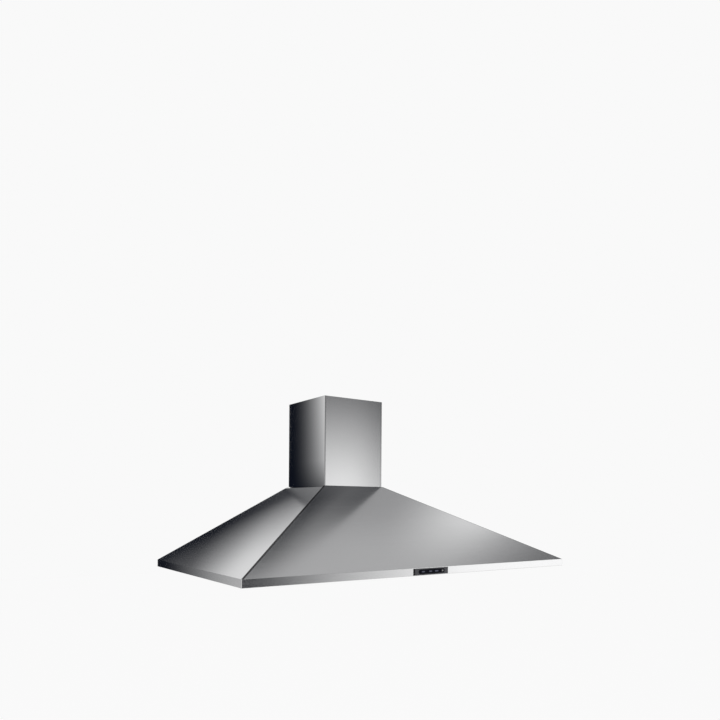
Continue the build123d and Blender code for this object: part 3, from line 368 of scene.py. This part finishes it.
def frosted_glass(name):
    """Pressed glass with a pebbled face."""
    material, g, surface = principled(name)
    surface.inputs["Transmission Weight"].default_value = 0.75
    grain = g.noise(scale=1800.0, detail=2.0)
    pebbles = g.add("ShaderNodeTexVoronoi", {"feature": "SMOOTH_F1"},
                    {"Vector": g.place(), "Scale": 420.0}).outputs["Distance"]
    dress(g, surface, color=g.tint(grain, (0.86, 0.89, 0.88), (0.95, 0.97, 0.96)),
          rough=g.ramp(grain, *NOISE_RANGE, 0.3, 0.42),
          normal=g.bump(pebbles, strength=0.5, depth=0.0003, normal=g.soft_edge(SHEET_EDGE)))
    return material


STEEL = (0.63, 0.63, 0.63)
brushed_along_y = brushed("steel_grain_deep", STEEL, 1, painted_shade=flange_shade)
finishes = {
    "brushed_steel": brushed("steel_grain_across", STEEL, 0),
    "galvanised_steel": spangled("zinc_sheet", (0.55, 0.56, 0.57)),
    "zinc_screw": turned_metal("zinc_plate", (0.72, 0.72, 0.69), rough=0.28, stretch=(600, 600, 60)),
    "shaft_steel": turned_metal("ground_steel", (0.7, 0.7, 0.71), rough=0.2),
    "spring_steel": turned_metal("spring_steel", (0.45, 0.45, 0.47), rough=0.3, stretch=(60, 800, 800)),
    "filter_aluminium": brushed("filter_aluminium", (0.78, 0.79, 0.8), 0, rough=0.34, depth=0.00005, streak=0.05),
    "filter_mesh": turned_metal("mesh_aluminium", (0.72, 0.73, 0.74), rough=0.34, stretch=(400, 400, 60)),
    "black_plastic": moulded("black_moulding", (0.022, 0.022, 0.026), rough=0.42),
    "latch_plastic": moulded("latch_moulding", (0.1, 0.1, 0.105), rough=0.4),
    "grey_plastic": moulded("grey_moulding", (0.3, 0.31, 0.32), rough=0.5),
    "circuit_board": board_green("circuit_board"),
    "lamp_metal": turned_metal("satin_nickel", (0.5, 0.5, 0.5), rough=0.22, stretch=(1800, 1800, 1800)),
    "lamp_glass": frosted_glass("frosted_glass"),
    "bulb_ceramic": moulded("bulb_ceramic", (0.85, 0.84, 0.8), rough=0.25, grain=900.0, depth=0.00002),
    "damper_plastic": moulded("damper_moulding", (0.11, 0.11, 0.12), rough=0.5),
    "impeller_steel": spangled("impeller_zinc", (0.62, 0.63, 0.64), rough=0.36, cell=160.0),
    "motor_paint": moulded("motor_enamel", (0.03, 0.03, 0.032), rough=0.3, grain=500.0, depth=0.00006),
    "rubber": moulded("rubber", (0.025, 0.025, 0.025), rough=0.7, grain=1200.0, depth=0.00008),
    "capacitor_can": moulded("capacitor_moulding", (0.78, 0.78, 0.75), rough=0.35, grain=1400.0, depth=0.00003),
}

# The control panel's painted boxes: each one's colour, place across the hood, half width, half height and soft edge.
PANEL_Z = 0.0085
DASH = (0.085, 0.09, 0.12)
# Painted shade: a near-black strip across the fascia's left end, standing in for the shade at its side.
FASCIA_END_SHADE = ((0.002, 0.002, 0.003), -0.05, 0.0045, 0.02, 0.0004)
LIGHT_MARK = ((0.4, 0.4, 0.4), 0.0348, 0.0003, 0.0003, 0.0015)
SPEED_MARKS = {
    "low": (DASH, -0.0215, 0.0028, 0.0005, 0.0016),
    "medium": (DASH, -0.001, 0.0028, 0.0005, 0.0016),
    "high": (DASH, 0.0167, 0.0038, 0.0006, 0.0016),
}
BUTTON = {"rough": 0.3, "grain": 2500.0, "depth": 0.00002}

# These nodes look different from the rest of their slot.
own_finish = {
    "canopy_left_panel": brushed_along_y,
    "canopy_right_panel": brushed_along_y,
    "canopy_front_panel": brushed("steel_grain_front", STEEL, 0, painted_shade=edge_shade),
    "chimney_upper_cover": brushed("steel_grain_upright", STEEL, 2),
    "chimney_lower_cover": brushed("steel_grain_chimney", STEEL, 2, painted_shade=bend_shade),
    "control_fascia": moulded(
        "fascia_moulding", (0.07, 0.07, 0.076), rough=0.4, gloss=0.15, painted_box=FASCIA_END_SHADE),
    "control_housing": moulded("recess_moulding", (0.004, 0.004, 0.009), rough=0.4, gloss=0.06),
    "button_light": moulded(
        "light_button_moulding", (0.02, 0.02, 0.022), gloss=0.3, painted_box=LIGHT_MARK, **BUTTON),
}
for speed, painted_box in SPEED_MARKS.items():
    own_finish[f"button_speed_{speed}"] = moulded(
        f"{speed}_button_moulding", (0.006, 0.007, 0.016), gloss=0.1, painted_box=painted_box, **BUTTON)

for name, piece in nodes.items():
    piece.data.materials.clear()
    piece.data.materials.append(own_finish.get(name) or finishes[slot_of[name]])


# ------------------------------------------------------------------ the filters' mesh and the latches' springs
STRAND_THICK = 0.0004
STRAND_TWIST = 0.45
STRAND_SECTION = ((-1, -1), (1, -1), (1, 1), (-1, 1))
MESH_INSET = 0.0004
# Each layer's height in the pack (0 to 1), its strands' pitch, cell and width, and whether it runs the other way.
MESH_LAYERS = (
    (0.08, 0.0032, 0.011, 0.0008, False),
    (0.36, 0.0042, 0.014, 0.0011, True),
    (0.64, 0.0042, 0.014, 0.0011, False),
    (0.92, 0.0032, 0.011, 0.0008, False),
)


def strand_layer(points, faces, low, high, z, pitch, cell, width, other_way):
    """Zigzag strands of expanded metal over a rectangle."""
    along, across = (1, 0) if other_way else (0, 1)
    rows = int((high[across] - low[across]) / pitch)
    steps = int((high[along] - low[along]) / (cell / 2))
    step = (high[along] - low[along]) / steps
    gap = (high[across] - low[across]) / rows
    corners = len(STRAND_SECTION)
    for row in range(rows):
        middle = low[across] + (row + 0.5) * gap
        swing = (gap - width) / 2 * (1 if row % 2 else -1)
        first = len(points)
        for i in range(steps + 1):
            turn = 1 if i % 2 else -1
            centre = middle + swing * turn
            lift = STRAND_THICK * STRAND_TWIST * turn
            for side, up in STRAND_SECTION:
                point = [0.0, 0.0, z + up * STRAND_THICK / 2 + lift * side / 2]
                point[along] = low[along] + i * step
                point[across] = centre + side * width / 2
                points.append(point)
            if i:
                p = first + corners * (i - 1)
                for k in range(corners):
                    j = (k + 1) % corners
                    faces.append((p + k, p + j, p + corners + j, p + corners + k))
        faces.append(tuple(first + k for k in reversed(range(corners))))
        last = first + corners * steps
        faces.append(tuple(last + k for k in range(corners)))


def expanded_mesh(side):
    """Four crossed layers of expanded metal in place of the filter's solid pack."""
    low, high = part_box(f"filter_mesh_{side}")
    low = (low.x + MESH_INSET, low.y + MESH_INSET, low.z)
    high = (high.x - MESH_INSET, high.y - MESH_INSET, high.z)
    depth = high[2] - low[2]
    points, faces = [], []
    for share, *form in MESH_LAYERS:
        strand_layer(points, faces, low, high, low[2] + depth * share, *form)
    mesh = bpy.data.meshes.new(f"expanded_mesh_{side}")
    mesh.from_pydata(points, [], faces)
    mesh.update()
    mesh.materials.append(finishes["filter_mesh"])
    piece = new_object(f"expanded_mesh_{side}", mesh)
    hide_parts(f"filter_mesh_{side}")
    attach(piece, f"filter_{side}")


def leaf_spring(side):
    """The latch's leaf spring, a copy of the part's mesh that rides with its filter."""
    source = nodes[f"latch_spring_{side}"]
    mesh = source.data.copy()
    mesh.name = f"leaf_spring_{side}"
    mesh.transform(source.matrix_world)
    piece = new_object(f"leaf_spring_{side}", mesh)
    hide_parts(f"latch_spring_{side}")
    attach(piece, f"filter_{side}")
    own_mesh(piece)


for side in ("left", "centre", "right"):
    expanded_mesh(side)
    leaf_spring(side)


# ------------------------------------------------------------------ what the studio's cards show
# Each level is the glow at a point of a card. In a ramp, line, rise or fall, the two numbers after the coordinate
# are places in metres and the others are glow.
WHITE = 0.947
PALE = 0.5
# How much more a card glows in green and blue than in red.
COOL_GREEN, COOL_BLUE = 0.002, 0.009

# The chimney's side: where its glow starts, how it grows from there, and its darkest.
SIDE_START_Y, SIDE_POWER, SIDE_GAIN, SIDE_DARKEST = 0.0165, 2.68, 76.0, 0.006
# The left panel's dark wall edge: its slope, its height at the centre line, the glow's growth above it, its darkest.
EDGE_SLOPE, EDGE_Z, EDGE_GAIN, EDGE_DARKEST = 0.615, 0.295, 7.0, 0.055
# The soft patch in the front panel's mirror image: an oval's centre, turn, half length, half width and glow.
PATCH_X, PATCH_Z, PATCH_TURN = 1.021, 0.61, 1.138
PATCH_LONG, PATCH_WIDE, PATCH_GLOW = 0.759, 0.509, 0.696
# The dark patch overhead, and the pale rest of that card.
SHADOW_X, CEILING_PALE = 1.4, 0.55
CHIMNEY_DARKEST = 0.04


def side_level(g, x, y, z):
    """What the chimney's left side mirrors: black at its wall edge, pale towards the front."""
    out = g.most(g.minus(SIDE_START_Y, y), 0.0)
    glow = g.least(g.times(g.math("POWER", out, SIDE_POWER), SIDE_GAIN), 1.0)
    rising = g.plus(g.line(z, 0.205, 0.27, 0.25, 0.73), g.line(z, 0.27, 0.43, 0.0, 0.27))
    return g.plus(g.times(glow, rising), SIDE_DARKEST)


def left_panel_level(g, x, z):
    """What the canopy's left panel mirrors: dark close to its wall edge, pale above it."""
    above = g.most(g.minus(z, g.plus(g.times(x, EDGE_SLOPE), EDGE_Z)), 0.0)
    glow = g.plus(g.times(above, EDGE_GAIN), EDGE_DARKEST)
    return g.times(g.least(glow, 1.0), g.line(z, 0.106, 0.218, 0.21, 1.0))


def front_panel_level(g, x, z):
    """What the canopy's front panel mirrors: even, with a brighter soft patch at the right."""
    even = g.plus(g.ramp(x, 0.2, 0.42, 0.33, 0.6), g.line(x, 1.33, 2.16, 0.0, -0.43))
    even = g.plus(even, g.ramp(z, 0.67, 1.14, -0.175, 0.0))
    dx, dz = g.minus(x, PATCH_X), g.minus(z, PATCH_Z)
    cos, sin = math.cos(PATCH_TURN), math.sin(PATCH_TURN)
    along = g.plus(g.times(dx, cos / PATCH_LONG), g.times(dz, sin / PATCH_LONG))
    across = g.minus(g.times(dz, cos / PATCH_WIDE), g.times(dx, sin / PATCH_WIDE))
    reach = g.math("SQRT", g.plus(g.times(along, along), g.times(across, across)))
    return g.plus(even, g.fall(reach, 0.0, 1.0, PATCH_GLOW))


def wall_level(g, x, y, z):
    """At the wall: from left to right what the rim, the left panel and the front panel mirror."""
    rim = g.ramp(x, -0.7, -0.47, 0.64, 0.01)
    left = g.blend(g.rise(z, 0.005, 0.06), rim, left_panel_level(g, x, z))
    left = g.blend(g.rise(z, 0.3, 0.5), left, PALE)
    return g.blend(g.rise(x, -0.05, 0.2), left, front_panel_level(g, x, z))


def front_level(g, x, y, z):
    """In front: low down it rises to the right, higher up it falls off upwards and at the far right.

    Its left edge is as white as the world behind it.
    """
    low = g.plus(g.line(x, 0.76, 1.3, 0.03, 0.6), g.line(x, 1.3, 2.5, 0.0, 0.94))
    high = g.plus(g.line(z, 0.3, 0.95, 1.42, 0.36), g.line(z, 0.95, 1.3, 0.0, -0.3))
    across = g.times(g.ramp(x, 1.5, 1.8, 0.84, 1.0), g.ramp(x, 1.9, 2.22, 1.0, 0.36))
    glow = g.blend(g.rise(z, -0.1, 0.3), low, g.times(high, across))
    return g.blend(g.rise(x, 0.12, 0.48), WHITE, glow)


def top_level(g, x, y, z):
    """Overhead: pale, with a soft dark patch that the chimney mirrors down into the canopy."""
    patch = g.line(y, -1.3, -1.0, 0.13, 0.34)
    aside = g.rise(g.gap(x, SHADOW_X), 0.35, 0.9)
    ahead = g.fall(y, -1.9, -1.38)
    return g.blend(g.most(aside, ahead), patch, CEILING_PALE)


def chimney_level(g, x, y, z):
    """The chimney's front, gone on up to the ceiling, as the canopy's front panel mirrors it."""
    middle = g.plus(g.line(z, 0.28, 0.48, 0.155, 0.275), g.line(z, 0.6, 1.2, 0.0, 0.28))
    to_left = g.plus(g.line(z, 0.2, 0.45, -0.4, -3.4), g.line(z, 0.7, 0.9, 0.0, 2.2))
    left = g.times(g.most(g.times(x, -1.0), 0.0), to_left)
    right = g.times(g.most(x, 0.0), g.line(z, 0.35, 0.62, -0.4, 3.0))
    return g.most(g.plus(middle, g.plus(left, right)), CHIMNEY_DARKEST)


def foot_level(g, x, y, z):
    """The chimney's left side, as the canopy's left panel mirrors it."""
    return g.plus(g.line(y, -0.22, -0.03, 0.28, 0.15), g.line(y, -0.04, 0.02, 0.0, -0.12))


# ------------------------------------------------------------------ the studio
# The cards' planes and edges, in metres. The wall card leaves out what is behind the hood and low on its right.
WALL_Y, CHIMNEY_Y, FRONT_Y = 0.02, -0.1905, -3.0
SIDE_X, FOOT_X = -0.1, -0.1005
WALL_LEFT_X, RIM_LEFT_X, CHIMNEY_LEFT_X, WALL_RIGHT_X = -1.2, -0.452, -0.095, 3.6
CEILING_Z, WALL_TOP_Z, FLOOR_Z = 2.2, 2.6, -1.5
FLOOR_REACH = 14
# How much of the floor's look is even white, and not lit by the lamps.
EVEN_SHARE = 0.88
HIDDEN_FROM = ("camera", "diffuse", "transmission", "volume_scatter", "shadow")


def stage_plane(name, corners, material, only_mirrored=False):
    """Flat stage piece of one or more four-cornered faces. Only mirrors see it if only_mirrored."""
    mesh = bpy.data.meshes.new(name)
    mesh.from_pydata(corners, [], [tuple(range(i, i + 4)) for i in range(0, len(corners), 4)])
    mesh.materials.append(material)
    piece = new_object(name, mesh)
    if only_mirrored:
        for ray in HIDDEN_FROM:
            setattr(piece, f"visible_{ray}", False)


def card_material(name, level):
    """A card that glows on its front by level(graph, x, y, z) and lets light through its back."""
    material, g = new_material(name)
    material.cycles.emission_sampling = "NONE"
    geometry = g.add("ShaderNodeNewGeometry").outputs
    glow = level(g, *g.add("ShaderNodeSeparateXYZ", inputs={"Vector": geometry["Position"]}).outputs)
    color = g.add("ShaderNodeCombineColor", inputs={
        "Red": glow, "Green": g.plus(glow, COOL_GREEN), "Blue": g.plus(glow, COOL_BLUE)})
    lit = g.add("ShaderNodeEmission", inputs={"Color": color.outputs[0], "Strength": 1.0})
    clear = g.add("ShaderNodeBsdfTransparent")
    g.show(g.choose(geometry["Backfacing"], lit.outputs[0], clear.outputs[0]))
    return material


def pale_floor():
    """Nearly even white to the eye, with a little of the object's shadow left in it."""
    material, g = new_material("pale_floor")
    matt = g.add("ShaderNodeBsdfDiffuse", inputs={
        "Color": g.tint(g.noise(scale=3.0), (0.9, 0.9, 0.9), (0.93, 0.93, 0.93))})
    even = g.add("ShaderNodeEmission", inputs={"Strength": 1.0})
    g.show(g.choose(g.times(g.seen(), EVEN_SHARE), matt.outputs[0], even.outputs[0]))
    return material


cards = {
    "wall_card": (wall_level, [(x, WALL_Y, z) for x, z in (
        (WALL_LEFT_X, -0.16), (RIM_LEFT_X, -0.06), (RIM_LEFT_X, WALL_TOP_Z), (WALL_LEFT_X, WALL_TOP_Z),
        (RIM_LEFT_X, 0.019), (CHIMNEY_LEFT_X, 0.205), (CHIMNEY_LEFT_X, WALL_TOP_Z), (RIM_LEFT_X, WALL_TOP_Z),
        (CHIMNEY_LEFT_X, 0.45), (WALL_RIGHT_X, 0.45), (WALL_RIGHT_X, WALL_TOP_Z), (CHIMNEY_LEFT_X, WALL_TOP_Z),
    )]),
    "side_card": (side_level, [(SIDE_X, y, z) for y, z in (
        (-0.2, 0.2), (0.4, 0.2), (0.4, 0.8), (-0.2, 0.8))]),
    "foot_card": (foot_level, [(FOOT_X, y, z) for y, z in (
        (WALL_Y, 0.19), (-0.2, 0.19), (-0.2, 0.42), (WALL_Y, 0.42))]),
    "chimney_card": (chimney_level, [(x, CHIMNEY_Y, z) for x, z in (
        (-0.09, 0.2035), (0.09, 0.2035), (0.09, 1.5), (-0.09, 1.5))]),
    "front_card": (front_level, [(x, FRONT_Y, z) for x, z in (
        (6.0, -0.7), (0.1, -0.7), (0.1, CEILING_Z), (6.0, CEILING_Z))]),
    "top_card": (top_level, [(x, y, CEILING_Z) for x, y in (
        (-0.5, FRONT_Y), (-0.5, -0.2), (5.0, -0.2), (5.0, FRONT_Y))]),
}
for name, (level, corners) in cards.items():
    stage_plane(name, corners, card_material(name, level), True)
stage_plane("floor", [(x * FLOOR_REACH, y * FLOOR_REACH, FLOOR_Z)
                      for x, y in ((-1, -1), (1, -1), (1, 1), (-1, 1))], pale_floor())

# The world lights the object less than it shows.
SKY = 0.62
world = bpy.data.worlds.new("studio")
bpy.context.scene.world = world
world.use_nodes = True
g = Graph(world.node_tree)
lighting, backdrop = (
    g.add("ShaderNodeBackground", inputs={"Color": (1, 1, 1, 1), "Strength": strength}).outputs[0]
    for strength in (SKY, WHITE))
g.show(g.choose(g.seen(), lighting, backdrop), "ShaderNodeOutputWorld")

# Each soft light's place, the height it aims at, its size and its watts.
AIM_Y = -0.25
soft_lights = {
    "key_light": ((-1.6, -2.4, 2.0), 0.15, (1.6, 1.2), 24),
    "fill_light": ((2.4, -1.6, 0.8), 0.15, (1.4, 1.4), 12),
    "low_light": ((0.2, -1.0, -1.3), 0.0, (1.8, 1.2), 8),
}
for name, (place, aim_z, size, watts) in soft_lights.items():
    light = bpy.data.lights.new(name, "AREA")
    light.shape = "RECTANGLE"
    light.size, light.size_y = size
    light.energy = watts
    lamp = new_object(name, light)
    lamp.location = place
    lamp.rotation_mode = "QUATERNION"
    lamp.rotation_quaternion = (Vector((0, AIM_Y, aim_z)) - Vector(place)).to_track_quat("-Z", "Y")
    lamp.visible_glossy = False

# ------------------------------------------------------------------ camera, fitted to the photo's edges
EYE = (-0.9293, -1.5827, 0.1515)
PITCH, ROLL, HEADING = 90, -0.394, -34.847
camera = bpy.data.cameras.new("camera")
camera.sensor_width = 36.0
camera.lens = 32.07
camera.shift_x = -0.0088
camera.shift_y = 0.2029
eye = new_object("camera", camera)
eye.location = EYE
eye.rotation_euler = [math.radians(angle) for angle in (PITCH, ROLL, HEADING)]
bpy.context.scene.camera = eye

bpy.context.scene.view_settings.view_transform = "Standard"
